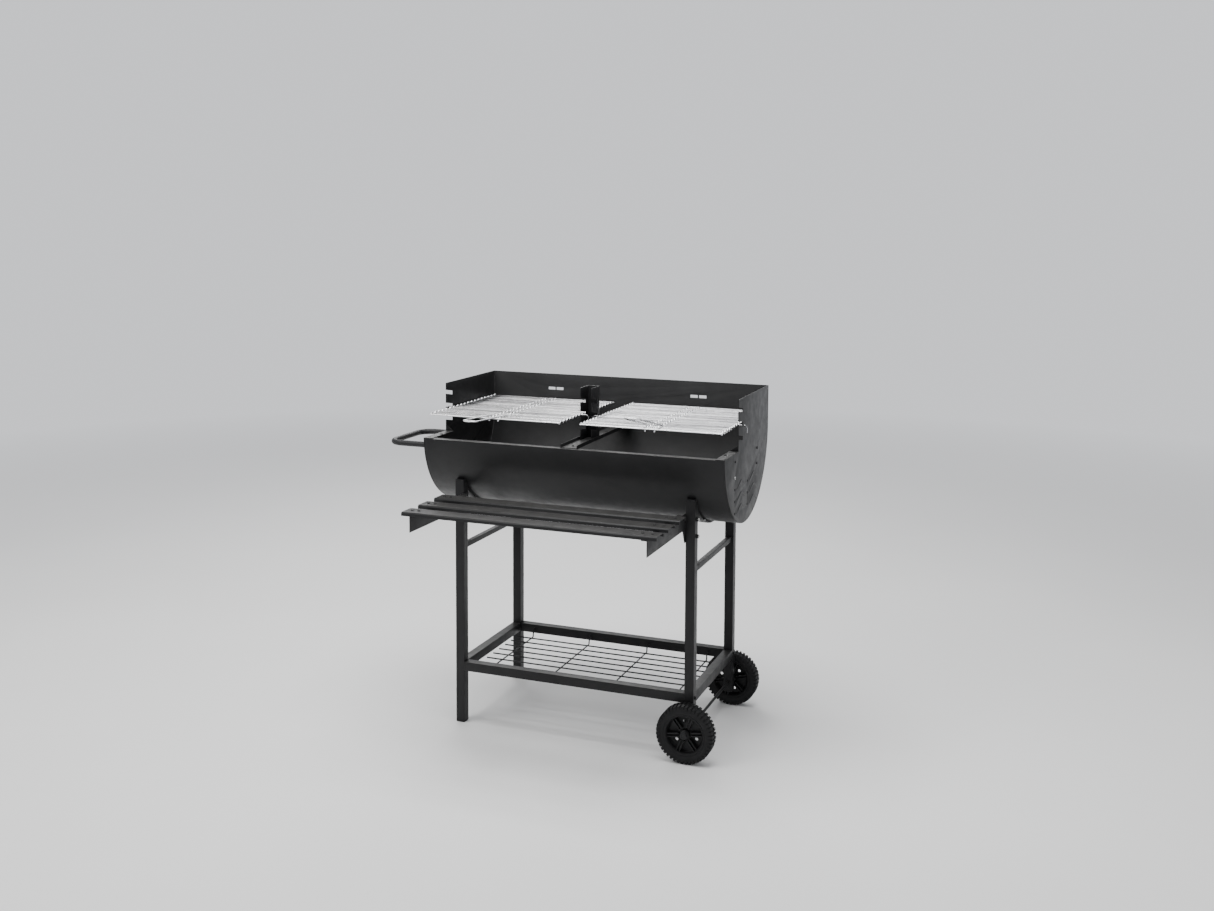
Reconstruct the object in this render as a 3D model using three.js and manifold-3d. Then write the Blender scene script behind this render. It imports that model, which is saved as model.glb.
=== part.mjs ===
// Half-barrel charcoal grill on a four-legged trolley.
// Millimetres, +Z up, +X towards the wheel end, -Y towards the cook (the shelf side).
import * as THREE from "three";
import { mergeVertices } from "three/addons/utils/BufferGeometryUtils.js";
import Module from "manifold-3d";

const wasm = await Module();
wasm.setup();

// ---------------------------------------------------------------- driving dimensions
const FIT = 0.3; // gap between pieces that touch
const SHEET = 1.5; // firebox shell and slats
const PLATE = 2; // end plates, brackets and the notch post

// firebox
const BARREL_HALF = 430; // half length, outside of the end plates
const BOTTOM_Z = 597;
const RIM_Z = 797; // front rim, where the cook stands
const WALL_TOP_Z = 935; // top of the wind guard
const KEEL_Y = -17; // lowest line of the barrel
const FRONT_R = 206; // bend of the front wall
const BACK_R = 236; // bend of the back wall
const RIM_FLANGE = 22;
const SIDE_FLANGE = 25;
const WING_Y = -94; // notched front edge of the end plates

// grate supports
const NOTCH_FLOOR_Z = 867; // mouth of the middle notch
const NOTCH_PITCH = 37;
const NOTCH_H = 11;
const NOTCH_DEPTH = 40;
const NOTCH_SINK = 7.2; // drop of a notch's floor from its mouth to its end
const POST_HALF = 17;
const POST_DEPTH = 58;
const POST_TOP_Z = 943;
const CHANNEL_HALF = 24;
const CHANNEL_H = 10;

// cooking grates
const GRATE_X = 223.5; // centre of each grate
const GRATE_HALF = 195;
const ROD = 4; // hook, cross rods and handles
const LONG_ROD = 3;
const ROD_PITCH = 11;
const ROD_COUNT = 37;
const ROD_FRONT_Y = -202;
const HOOK_ROD = 13; // this rod runs on through the notches
const PIN_ROD = 3; // the handle turns on this rod
const HOOK_Y = ROD_FRONT_Y + HOOK_ROD * ROD_PITCH;
const ROD_Z = NOTCH_FLOOR_Z - (NOTCH_SINK * (HOOK_Y - WING_Y)) / NOTCH_DEPTH + ROD / 2 + 0.45;
const CROSS_Z = ROD_Z - 3; // cross rods, welded underneath
const HOOK_OUT_X = 443;
const HOOK_IN_X = 6.5;
const HOOK_DROP = [19, 13]; // outer and inner end
const HOOK_BEND = 8;
const LUG_HALF = 13; // centre cross rods, which end in the rear lugs
const LUG_Z = 853.8;
const HANDLE_HALF = 20;
const HANDLE_REACH = 187;
const EYE_R = (LONG_ROD + ROD) / 2 + 0.6; // centre line of the handle's eyes
const LEFT_HANDLE_LIFT = THREE.MathUtils.degToRad(3);
const RIGHT_HANDLE_LIFT = THREE.MathUtils.degToRad(13.7);

// charcoal grates
const COAL_Z = 652;
const COAL_PITCH = 26;
const COAL_ROD = 5;

// trolley
const TUBE = 25;
const WALL = 1.5;
const LEG_X = 333;
const LEG_Y = 185;
const FRONT_LEG_TOP = 685;
const BACK_LEG_TOP = 705;
const CAP = 3;
const WHEEL_LEG_FOOT = 50;
const LOWER_RAIL_Z = 160;
const UPPER_RAIL_Z = 495.5;
const UPPER_RAIL = 14; // the upper side rails are a lighter tube
const SADDLE_GAP = 4;
const SADDLE_T = 3;
const SADDLE_W = 20;
const SADDLE_TAB = 32;

// wheels
const WHEEL_R = 77;
const WHEEL_IN_Y = 200.5;
const WHEEL_OUT_Y = 239;
const WHEEL_RECESS_R = 48;
const WHEEL_WEB = [215, 220.5];
const HOLE_TURN = { front: 98, back: 45 }; // where the first web hole stands, in degrees
const AXLE = 8;

// shelf
const SLAT_HALF = 344;
const SLAT_TOP_Z = 658;
const SLAT_FRONT_Y = -496;
const SLAT_W = 52;
const SLAT_STEP = 86.5;
const SLAT_H = 10;
const BRACKET_H = 41;
const BRACKET_TAB_Z = 572;
const SHELF_BOLT_Z = [632, 588];
const BOLT = 6;

// side handle
const HANDLE_TUBE = 16;
const HANDLE_Z = 775;
const HANDLE_Y = [-200, 0];
const HANDLE_TIP_X = -553;

// bottom rack
const RACK_Z = 138;
const RACK_ROD = 4;
const RACK_CROSS_X = [-273, -91, 91, 273];
const RACK_LONG = 8;
const RACK_PITCH = 40;

// ---------------------------------------------------------------- materials
const paint = (name, color, roughness, metalness) =>
  new THREE.MeshStandardMaterial({ name, color, roughness, metalness });
const makeBlack = () => paint("black powder coat", 0x2b2b2d, 0.55, 0.3);
const makeChrome = () => paint("chrome plate", 0xd8dadc, 0.2, 1);
const makeRubber = () => paint("black tyre plastic", 0x1c1d1f, 0.75, 0);
const makePlastic = () => paint("black plastic", 0x18181a, 0.5, 0);
const makeZinc = () => paint("zinc plate", 0xb4b7ba, 0.35, 1);

// ---------------------------------------------------------------- solid helpers
const v = (x, y, z) => new THREE.Vector3(x, y, z);

function toManifold(geometry) {
  const plain = geometry.clone();
  plain.deleteAttribute("normal");
  plain.deleteAttribute("uv");
  const welded = mergeVertices(plain, 1e-4);
  const vertProperties = new Float32Array(welded.attributes.position.array);
  const triVerts = new Uint32Array(welded.index.array);
  return new wasm.Manifold(new wasm.Mesh({ numProp: 3, vertProperties, triVerts }));
}

function toGeometry(manifold) {
  const mesh = manifold.getMesh();
  const geometry = new THREE.BufferGeometry();
  geometry.setAttribute("position", new THREE.BufferAttribute(mesh.vertProperties, 3));
  geometry.setIndex(new THREE.BufferAttribute(mesh.triVerts, 1));
  return geometry;
}

const join = (...geometries) => toGeometry(geometries.map(toManifold).reduce((a, b) => a.add(b)));

const cut = (geometry, tools) =>
  toGeometry(tools.map(toManifold).reduce((body, tool) => body.subtract(tool), toManifold(geometry)));

// a block between two opposite corners
function block(x0, x1, y0, y1, z0, z1) {
  const geometry = new THREE.BoxGeometry(x1 - x0, y1 - y0, z1 - z0);
  return geometry.translate((x0 + x1) / 2, (y0 + y1) / 2, (z0 + z1) / 2);
}

// a round bar between two points
function bar(from, to, diameter, sides = 8) {
  const along = to.clone().sub(from);
  const geometry = new THREE.CylinderGeometry(diameter / 2, diameter / 2, along.length(), sides);
  const turn = new THREE.Quaternion().setFromUnitVectors(v(0, 1, 0), along.clone().normalize());
  geometry.applyQuaternion(turn);
  const middle = from.clone().add(to).multiplyScalar(0.5);
  return geometry.translate(middle.x, middle.y, middle.z);
}

// a path whose steps fall exactly on its own points
class BentPath extends THREE.Curve {
  constructor(points) {
    super();
    this.points = points;
  }
  getPointAt(u, target = new THREE.Vector3()) {
    const place = THREE.MathUtils.clamp(u, 0, 1) * (this.points.length - 1);
    const index = Math.min(Math.round(place), this.points.length - 1);
    return target.copy(this.points[index]);
  }
  getTangentAt(u, target = new THREE.Vector3()) {
    const last = this.points.length - 1;
    const index = Math.min(Math.round(THREE.MathUtils.clamp(u, 0, 1) * last), last);
    const before = this.points[Math.max(index - 1, 0)];
    const after = this.points[Math.min(index + 1, last)];
    const here = this.points[index];
    const arrive = here.clone().sub(before).normalize();
    const leave = after.clone().sub(here).normalize();
    return target.copy(arrive.add(leave)).normalize();
  }
}

// corner points with each inner corner rounded
function roundCorners(corners, radius, steps = 4) {
  const points = [corners[0]];
  for (let i = 1; i < corners.length - 1; i++) {
    const back = corners[i - 1].clone().sub(corners[i]).normalize();
    const ahead = corners[i + 1].clone().sub(corners[i]).normalize();
    const start = corners[i].clone().addScaledVector(back, radius);
    const end = corners[i].clone().addScaledVector(ahead, radius);
    const bend = new THREE.QuadraticBezierCurve3(start, corners[i], end);
    points.push(...bend.getPoints(steps));
  }
  points.push(corners.at(-1));
  return points;
}

// a bent wire, or a bent tube when it has a bore
function bentRod(points, diameter, { bore = 0, sides = 8 } = {}) {
  const section = new THREE.Shape();
  section.absarc(0, 0, diameter / 2, 0, Math.PI * 2, false);
  if (bore > 0) {
    const hole = new THREE.Path();
    hole.absarc(0, 0, bore / 2, 0, Math.PI * 2, true);
    section.holes.push(hole);
  }
  const extrudePath = new BentPath(points);
  const steps = points.length - 1;
  return new THREE.ExtrudeGeometry(section, { steps, extrudePath, curveSegments: sides / 2 });
}

// a flat outline in Y and Z, given a thickness along X from x0 to x1
function sideProfile(shape, x0, x1, curveSegments = 12) {
  const geometry = new THREE.ExtrudeGeometry(shape, {
    depth: x1 - x0,
    bevelEnabled: false,
    curveSegments,
  });
  geometry.rotateX(Math.PI / 2);
  geometry.rotateZ(Math.PI / 2);
  return geometry.translate(x0, 0, 0);
}

// a ring or disc turned about the Y axis, from [radius, y] corners
function turned(corners, segments = 24) {
  const points = corners.map(([radius, y]) => new THREE.Vector2(radius, y));
  return new THREE.LatheGeometry(points, segments);
}

const parts = [];
function add(name, geometry, material) {
  const mesh = new THREE.Mesh(geometry, material);
  mesh.name = name;
  parts.push(mesh);
}

// ---------------------------------------------------------------- barrel outline
const frontCentreZ = BOTTOM_Z + FRONT_R;
const backCentreZ = BOTTOM_Z + BACK_R;
const rimAngle = Math.PI + Math.asin((frontCentreZ - RIM_Z) / FRONT_R);
const rimY = KEEL_Y - Math.sqrt(FRONT_R ** 2 - (frontCentreZ - RIM_Z) ** 2);
const wallY = KEEL_Y + BACK_R;

// adds the barrel's bend to a path, from the rim round to the back wall
function traceBarrel(path, inset) {
  path.absarc(KEEL_Y, frontCentreZ, FRONT_R - inset, rimAngle, Math.PI * 1.5, false);
  path.absarc(KEEL_Y, backCentreZ, BACK_R - inset, Math.PI * 1.5, Math.PI * 2, false);
}

// everything inside the barrel's outer skin, used to cope what seats against it
function barrelVolume(extra, x0, x1) {
  const shape = new THREE.Shape();
  shape.moveTo(rimY - extra, RIM_Z);
  traceBarrel(shape, -extra);
  shape.lineTo(wallY + extra, WALL_TOP_Z);
  shape.lineTo(rimY - extra, WALL_TOP_Z);
  return sideProfile(shape, x0, x1, 12);
}

// ---------------------------------------------------------------- trolley frame
function squareTube(axis, length, size = TUBE) {
  const half = size / 2;
  const inner = half - WALL;
  const outside = block(-half, half, -half, half, 0, length);
  const inside = block(-inner, inner, -inner, inner, -1, length + 1);
  const tube = cut(outside, [inside]);
  if (axis === "x") tube.rotateY(Math.PI / 2);
  if (axis === "y") tube.rotateX(-Math.PI / 2);
  return tube;
}

function addLegs() {
  for (const [end, side] of [["left", -1], ["right", 1]]) {
    for (const [row, depth] of [["front", -1], ["back", 1]]) {
      const x = side * LEG_X;
      const y = depth * LEG_Y;
      const top = row === "front" ? FRONT_LEG_TOP : BACK_LEG_TOP;
      const foot = side < 0 ? 0 : WHEEL_LEG_FOOT;
      const reach = TUBE / 2;
      const cope = barrelVolume(FIT, x - TUBE, x + TUBE);
      const body = squareTube("z", top - foot - 2 * (CAP + FIT)).translate(x, y, foot + CAP + FIT);
      const tools = [cope];
      if (side > 0) tools.push(bar(v(x, y - TUBE, WHEEL_R), v(x, y + TUBE, WHEEL_R), AXLE + 1, 16));
      if (row === "front") {
        for (const z of SHELF_BOLT_Z) tools.push(bar(v(x - TUBE, y, z), v(x + TUBE, y, z), BOLT + 1, 12));
      }
      add(`leg_${row}_${end}`, cut(body, tools), makeBlack());
      const lid = block(x - reach, x + reach, y - reach, y + reach, top - CAP, top);
      add(`leg_cap_${row}_${end}`, cut(lid, [cope]), makePlastic());
      const shoe = block(x - reach, x + reach, y - reach, y + reach, foot, foot + CAP);
      add(`leg_foot_${row}_${end}`, shoe, makePlastic());
    }
  }
}

function addRails() {
  const reachX = LEG_X - TUBE / 2 - FIT;
  const reachY = LEG_Y - TUBE / 2 - FIT;
  for (const [row, depth] of [["front", -1], ["back", 1]]) {
    const y = depth * LEG_Y;
    const rail = squareTube("x", 2 * reachX).translate(-reachX, y, LOWER_RAIL_Z);
    const inner = y - depth * TUBE / 2;
    const eyes = RACK_CROSS_X.map((x) =>
      bar(v(x, inner - 4, LOWER_RAIL_Z), v(x, inner + 4, LOWER_RAIL_Z), RACK_ROD + 1.5, 10));
    add(`lower_rail_${row}`, cut(rail, eyes), makeBlack());
  }
  for (const [end, side] of [["left", -1], ["right", 1]]) {
    for (const [level, z, size] of [["lower", LOWER_RAIL_Z, TUBE], ["upper", UPPER_RAIL_Z, UPPER_RAIL]]) {
      const rail = squareTube("y", 2 * reachY, size).translate(side * LEG_X, -reachY, z);
      add(`${level}_rail_${end}`, rail, makeBlack());
    }
  }
}

function addSaddles() {
  const reach = LEG_Y - TUBE / 2 - FIT;
  const near = SADDLE_GAP;
  const far = SADDLE_GAP + SADDLE_T;
  const frontOuter = Math.acos((reach + KEEL_Y) / (FRONT_R + far));
  const frontInner = Math.acos((reach - SADDLE_T + KEEL_Y) / (FRONT_R + near));
  const backOuter = Math.acos((reach - KEEL_Y) / (BACK_R + far));
  const backInner = Math.acos((reach - SADDLE_T - KEEL_Y) / (BACK_R + near));
  const frontZ = frontCentreZ - (FRONT_R + far) * Math.sin(frontOuter);
  const backZ = backCentreZ - (BACK_R + far) * Math.sin(backOuter);
  const shape = new THREE.Shape();
  shape.moveTo(-reach, frontZ - SADDLE_TAB);
  shape.lineTo(-reach, frontCentreZ - (FRONT_R + near) * Math.sin(frontInner));
  shape.lineTo(-reach + SADDLE_T, frontCentreZ - (FRONT_R + near) * Math.sin(frontInner));
  shape.absarc(KEEL_Y, frontCentreZ, FRONT_R + near, Math.PI + frontInner, Math.PI * 1.5, false);
  shape.absarc(KEEL_Y, backCentreZ, BACK_R + near, Math.PI * 1.5, Math.PI * 2 - backInner, false);
  shape.lineTo(reach, backCentreZ - (BACK_R + near) * Math.sin(backInner));
  shape.lineTo(reach, backZ - SADDLE_TAB);
  shape.lineTo(reach - SADDLE_T, backZ - SADDLE_TAB);
  const backTab = Math.acos((reach - SADDLE_T - KEEL_Y) / (BACK_R + far));
  shape.absarc(KEEL_Y, backCentreZ, BACK_R + far, Math.PI * 2 - backTab, Math.PI * 1.5, true);
  const frontTab = Math.acos((reach - SADDLE_T + KEEL_Y) / (FRONT_R + far));
  shape.absarc(KEEL_Y, frontCentreZ, FRONT_R + far, Math.PI * 1.5, Math.PI + frontTab, true);
  shape.lineTo(-reach + SADDLE_T, frontZ - SADDLE_TAB);
  for (const [end, side] of [["left", -1], ["right", 1]]) {
    const x = side * LEG_X;
    add(`saddle_${end}`, sideProfile(shape, x - SADDLE_W / 2, x + SADDLE_W / 2, 6), makeBlack());
  }
}

function addRack() {
  const face = LEG_Y - TUBE / 2;
  const crossings = RACK_CROSS_X.map((x) => {
    const corners = [
      v(x, -face - 4, LOWER_RAIL_Z),
      v(x, -face + 8, LOWER_RAIL_Z),
      v(x, -face + 12, RACK_Z),
      v(x, face - 12, RACK_Z),
      v(x, face - 8, LOWER_RAIL_Z),
      v(x, face + 4, LOWER_RAIL_Z),
    ];
    return bentRod(roundCorners(corners, 4, 2), RACK_ROD, { sides: 6 });
  });
  const half = RACK_CROSS_X.at(-1) + 45;
  const rods = Array.from({ length: RACK_LONG }, (_, i) => {
    const y = (i - (RACK_LONG - 1) / 2) * RACK_PITCH;
    const z = RACK_Z + RACK_ROD - 0.8;
    return bar(v(-half, y, z), v(half, y, z), RACK_ROD, 6);
  });
  add("bottom_rack", join(...crossings, ...rods), makeBlack());
}

// ---------------------------------------------------------------- wheels
function addWheels() {
  const end = WHEEL_OUT_Y + 3;
  add("axle", bar(v(LEG_X, -end, WHEEL_R), v(LEG_X, end, WHEEL_R), AXLE, 20), makeBlack());
  const bore = AXLE / 2 + 0.5;
  const [webIn, webOut] = WHEEL_WEB;
  const profile = [
    [bore, WHEEL_IN_Y],
    [13, WHEEL_IN_Y],
    [13, webIn],
    [WHEEL_RECESS_R, webIn],
    [WHEEL_RECESS_R + 4, WHEEL_IN_Y + 1.5],
    [WHEEL_R - 9, WHEEL_IN_Y],
    [WHEEL_R - 2, WHEEL_IN_Y + 3],
    [WHEEL_R, WHEEL_IN_Y + 7],
    [WHEEL_R, WHEEL_OUT_Y - 7],
    [WHEEL_R - 2, WHEEL_OUT_Y - 3],
    [WHEEL_R - 9, WHEEL_OUT_Y],
    [WHEEL_RECESS_R + 4, WHEEL_OUT_Y - 1.5],
    [WHEEL_RECESS_R, webOut],
    [13, webOut],
    [13, WHEEL_OUT_Y - 5],
    [bore, WHEEL_OUT_Y - 5],
    [bore, WHEEL_IN_Y],
  ];
  const cap = [
    [0, WHEEL_OUT_Y + 3 + FIT],
    [AXLE / 2 + FIT, WHEEL_OUT_Y + 3 + FIT],
    [AXLE / 2 + FIT, WHEEL_OUT_Y - 5 + FIT],
    [11, WHEEL_OUT_Y - 5 + FIT],
    [11, WHEEL_OUT_Y + 2],
    [8, WHEEL_OUT_Y + 5],
    [0, WHEEL_OUT_Y + 6],
  ];
  const washer = [
    [bore, WHEEL_IN_Y - 2.7],
    [12, WHEEL_IN_Y - 2.7],
    [12, WHEEL_IN_Y - FIT],
    [bore, WHEEL_IN_Y - FIT],
    [bore, WHEEL_IN_Y - 2.7],
  ];
  const holes = (first) => [0, 120, 240].map((step) => {
    const angle = THREE.MathUtils.degToRad(first + step);
    const x = 31 * Math.cos(angle);
    const z = 31 * Math.sin(angle);
    return bar(v(x, WHEEL_IN_Y, z), v(x, WHEEL_OUT_Y, z), 8, 12);
  });
  for (const [row, depth] of [["front", -1], ["back", 1]]) {
    const place = (geometry) => {
      const copy = geometry.clone();
      if (depth < 0) copy.rotateX(Math.PI);
      return copy.translate(LEG_X, 0, WHEEL_R);
    };
    const wheel = cut(turned(profile, 36), holes(depth * HOLE_TURN[row]));
    add(`wheel_${row}`, place(wheel), makeRubber());
    add(`hub_cap_${row}`, place(turned(cap, 14)), makePlastic());
    add(`axle_washer_${row}`, place(turned(washer, 14)), makeZinc());
  }
}

// ---------------------------------------------------------------- shelf
function addShelf() {
  const inner = LEG_X - TUBE / 2 - FIT; // bracket face that bears on the leg
  const underside = SLAT_TOP_Z - SLAT_H - FIT;
  const legFront = -LEG_Y - TUBE / 2;
  const legBack = -LEG_Y + TUBE / 2;
  const outline = new THREE.Shape();
  outline.moveTo(SLAT_FRONT_Y, underside - BRACKET_H);
  outline.lineTo(legFront - 22, underside - BRACKET_H);
  outline.lineTo(legFront - 6, BRACKET_TAB_Z);
  outline.lineTo(legBack, BRACKET_TAB_Z);
  outline.lineTo(legBack, underside);
  outline.lineTo(SLAT_FRONT_Y, underside);
  for (const [end, side] of [["left", -1], ["right", 1]]) {
    const outer = side * inner;
    const x0 = Math.min(outer, outer - side * PLATE);
    const web = sideProfile(outline, x0, x0 + PLATE);
    const lip = Math.min(outer, outer - side * 16);
    const top = block(lip, lip + 16, SLAT_FRONT_Y, legFront - 20, underside - PLATE, underside);
    const bores = SHELF_BOLT_Z.map((z) =>
      bar(v(outer - 8, -LEG_Y, z), v(outer + 8, -LEG_Y, z), BOLT + 1, 12));
    add(`shelf_bracket_${end}`, cut(join(web, top), bores), makeBlack());
    for (const [i, z] of SHELF_BOLT_Z.entries()) addShelfBolt(`shelf_bolt_${end}_${i + 1}`, side, z);
  }
  for (let i = 0; i < 3; i++) {
    add(`shelf_slat_${i + 1}`, slat(SLAT_FRONT_Y + i * SLAT_STEP), makeBlack());
  }
}

// hexagon head on the bracket side, shank through the leg
function addShelfBolt(name, side, z) {
  const headFace = LEG_X - TUBE / 2 - 2 * FIT - PLATE;
  const tail = LEG_X + TUBE / 2 + 8;
  const shank = bar(v(side * (headFace - 2), -LEG_Y, z), v(side * tail, -LEG_Y, z), BOLT, 12);
  const head = bar(v(side * (headFace - 4), -LEG_Y, z), v(side * headFace, -LEG_Y, z), 11, 6);
  add(name, join(shank, head), makeZinc());
}

// pressed slat: flat top, bevelled edges, turned-down lips
function slat(front) {
  const bevel = 3;
  const floor = SLAT_TOP_Z - SLAT_H;
  const shape = new THREE.Shape();
  shape.moveTo(front, floor);
  shape.lineTo(front, SLAT_TOP_Z - bevel);
  shape.lineTo(front + bevel, SLAT_TOP_Z);
  shape.lineTo(front + SLAT_W - bevel, SLAT_TOP_Z);
  shape.lineTo(front + SLAT_W, SLAT_TOP_Z - bevel);
  shape.lineTo(front + SLAT_W, floor);
  shape.lineTo(front + SLAT_W - SHEET, floor);
  shape.lineTo(front + SLAT_W - SHEET, SLAT_TOP_Z - bevel - SHEET / 2);
  shape.lineTo(front + SLAT_W - bevel - SHEET / 2, SLAT_TOP_Z - SHEET);
  shape.lineTo(front + bevel + SHEET / 2, SLAT_TOP_Z - SHEET);
  shape.lineTo(front + SHEET, SLAT_TOP_Z - bevel - SHEET / 2);
  shape.lineTo(front + SHEET, floor);
  return sideProfile(shape, -SLAT_HALF, SLAT_HALF);
}

// ---------------------------------------------------------------- firebox
const notchFloors = [-1, 0, 1].map((level) => NOTCH_FLOOR_Z + level * NOTCH_PITCH);

function addShell() {
  const half = BARREL_HALF - PLATE - FIT;
  const shape = new THREE.Shape();
  shape.moveTo(rimY + RIM_FLANGE, RIM_Z);
  shape.lineTo(rimY, RIM_Z);
  traceBarrel(shape, 0);
  shape.lineTo(wallY, WALL_TOP_Z);
  shape.lineTo(wallY - SHEET, WALL_TOP_Z);
  shape.absarc(KEEL_Y, backCentreZ, BACK_R - SHEET, 0, -Math.PI / 2, true);
  const underRim = Math.PI + Math.asin((frontCentreZ - RIM_Z + SHEET) / (FRONT_R - SHEET));
  shape.absarc(KEEL_Y, frontCentreZ, FRONT_R - SHEET, Math.PI * 1.5, underRim, true);
  shape.lineTo(rimY + RIM_FLANGE, RIM_Z - SHEET);
  const slots = [];
  for (const level of [-1, 0, 1]) {
    const z = LUG_Z + level * NOTCH_PITCH;
    for (const grate of [-GRATE_X, GRATE_X]) {
      for (const lug of [-LUG_HALF, LUG_HALF]) {
        const x = grate + lug;
        slots.push(block(x - 11, x + 11, wallY - 8, wallY + 4, z - 4, z + 4));
      }
    }
  }
  add("firebox_shell", cut(sideProfile(shape, -half, half), slots), makeBlack());
}

// notches that open at the front edge and slope down towards the back
function notches(x0, x1) {
  const lead = 5;
  const rise = (NOTCH_SINK * lead) / NOTCH_DEPTH;
  return notchFloors.map((floor) => {
    const shape = new THREE.Shape();
    shape.moveTo(WING_Y - lead, floor + rise);
    shape.lineTo(WING_Y + NOTCH_DEPTH, floor - NOTCH_SINK);
    shape.lineTo(WING_Y + NOTCH_DEPTH, floor - NOTCH_SINK + NOTCH_H);
    shape.lineTo(WING_Y - lead, floor + rise + NOTCH_H);
    return sideProfile(shape, x0, x1);
  });
}

const VENT_HOLES = [
  { y: -125, z: 735, count: 4 },
  { y: -2, z: 704, count: 3 },
];
const VENT_STEP = 31.5;

function addEndPlates() {
  const flangeZ = RIM_Z + FIT;
  const shape = new THREE.Shape();
  shape.moveTo(rimY, flangeZ + SHEET);
  shape.lineTo(rimY, RIM_Z);
  traceBarrel(shape, 0);
  shape.lineTo(wallY, WALL_TOP_Z);
  shape.lineTo(WING_Y, WALL_TOP_Z);
  shape.lineTo(WING_Y, flangeZ + SHEET);
  for (const [end, side] of [["left", -1], ["right", 1]]) {
    const face = side * BARREL_HALF;
    const x0 = Math.min(face, face - side * PLATE);
    const plate = sideProfile(shape, x0, x0 + PLATE);
    const lip = Math.min(face, face - side * SIDE_FLANGE);
    const flange = block(lip, lip + SIDE_FLANGE, rimY, WING_Y, flangeZ, flangeZ + SHEET);
    const slots = notches(x0 - 5, x0 + PLATE + 5);
    for (const { y, z, count } of VENT_HOLES) {
      for (let i = 0; i < count; i++) {
        const height = z - i * VENT_STEP;
        slots.push(bar(v(x0 - 5, y, height), v(x0 + PLATE + 5, y, height), 8, 10));
      }
    }
    add(`end_plate_${end}`, cut(join(plate, flange), slots), makeBlack());
  }
}

function addCentreSupports() {
  const floor = RIM_Z + FIT;
  const front = rimY + 8;
  const back = KEEL_Y + Math.sqrt((BACK_R - SHEET) ** 2 - (backCentreZ - RIM_Z) ** 2) - FIT;
  const shape = new THREE.Shape();
  shape.moveTo(-CHANNEL_HALF, floor);
  shape.lineTo(CHANNEL_HALF, floor);
  shape.lineTo(CHANNEL_HALF, floor + CHANNEL_H);
  shape.lineTo(CHANNEL_HALF - SHEET, floor + CHANNEL_H);
  shape.lineTo(CHANNEL_HALF - SHEET, floor + SHEET);
  shape.lineTo(-CHANNEL_HALF + SHEET, floor + SHEET);
  shape.lineTo(-CHANNEL_HALF + SHEET, floor + CHANNEL_H);
  shape.lineTo(-CHANNEL_HALF, floor + CHANNEL_H);
  const channel = new THREE.ExtrudeGeometry(shape, { depth: back - front, bevelEnabled: false });
  channel.rotateX(Math.PI / 2).translate(0, back, 0);
  add("centre_channel", channel, makeBlack());

  const base = floor + SHEET + FIT;
  const rear = WING_Y + POST_DEPTH;
  const web = block(-POST_HALF, POST_HALF, rear - PLATE, rear, base, POST_TOP_Z);
  const sides = [-1, 1].map((side) => {
    const outer = side * POST_HALF;
    const x0 = Math.min(outer, outer - side * PLATE);
    return block(x0, x0 + PLATE, WING_Y, rear, base, POST_TOP_Z);
  });
  const foot = block(-POST_HALF, POST_HALF, rear - PLATE, rear + 24, base, base + PLATE);
  const slots = notches(-POST_HALF - 5, POST_HALF + 5);
  add("notch_post", cut(join(web, ...sides, foot), slots), makeBlack());
}

function addSideHandle() {
  const face = -BARREL_HALF - FIT;
  const [front, back] = HANDLE_Y;
  const corners = [
    v(face - 1, front, HANDLE_Z),
    v(HANDLE_TIP_X, front, HANDLE_Z),
    v(HANDLE_TIP_X, back, HANDLE_Z),
    v(face - 1, back, HANDLE_Z),
  ];
  const tube = bentRod(roundCorners(corners, 48, 6), HANDLE_TUBE, { bore: HANDLE_TUBE - 3, sides: 10 });
  const flanges = HANDLE_Y.map((y) => {
    const ring = turned([[HANDLE_TUBE / 2 - 1.2, 0], [15, 0], [15, 3], [HANDLE_TUBE / 2 - 1.2, 3],
      [HANDLE_TUBE / 2 - 1.2, 0]], 20);
    return ring.rotateZ(Math.PI / 2).translate(face, y, HANDLE_Z);
  });
  add("side_handle", join(tube, ...flanges), makeBlack());
}

// ---------------------------------------------------------------- grates
// side is -1 for the left grate and 1 for the right one
function cookingGrate(side) {
  const centre = side * GRATE_X;
  const rods = [];
  for (let i = 0; i < ROD_COUNT; i++) {
    const y = ROD_FRONT_Y + i * ROD_PITCH;
    if (i === HOOK_ROD) continue;
    rods.push(bar(v(centre - GRATE_HALF, y, ROD_Z), v(centre + GRATE_HALF, y, ROD_Z), LONG_ROD, 6));
  }
  const hook = [
    v(side * HOOK_OUT_X, HOOK_Y, ROD_Z - HOOK_DROP[0]),
    v(side * HOOK_OUT_X, HOOK_Y, ROD_Z),
    v(side * HOOK_IN_X, HOOK_Y, ROD_Z),
    v(side * HOOK_IN_X, HOOK_Y, ROD_Z - HOOK_DROP[1]),
  ];
  rods.push(bentRod(roundCorners(hook, HOOK_BEND, 3), ROD, { sides: 6 }));
  const backY = ROD_FRONT_Y + (ROD_COUNT - 1) * ROD_PITCH;
  for (const x of [centre - GRATE_HALF + 3, centre + GRATE_HALF - 3]) {
    rods.push(bar(v(x, ROD_FRONT_Y - 3, CROSS_Z), v(x, backY + 3, CROSS_Z), ROD, 6));
  }
  for (const x of [centre - LUG_HALF, centre + LUG_HALF]) {
    const lug = [
      v(x, ROD_FRONT_Y - 4, CROSS_Z - 5),
      v(x, ROD_FRONT_Y - 4, CROSS_Z),
      v(x, backY + 4, CROSS_Z),
      v(x, backY + 8, LUG_Z),
      v(x, wallY + 8, LUG_Z),
    ];
    rods.push(bentRod(roundCorners(lug, 3, 3), ROD, { sides: 6 }));
  }
  return join(...rods);
}

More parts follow.
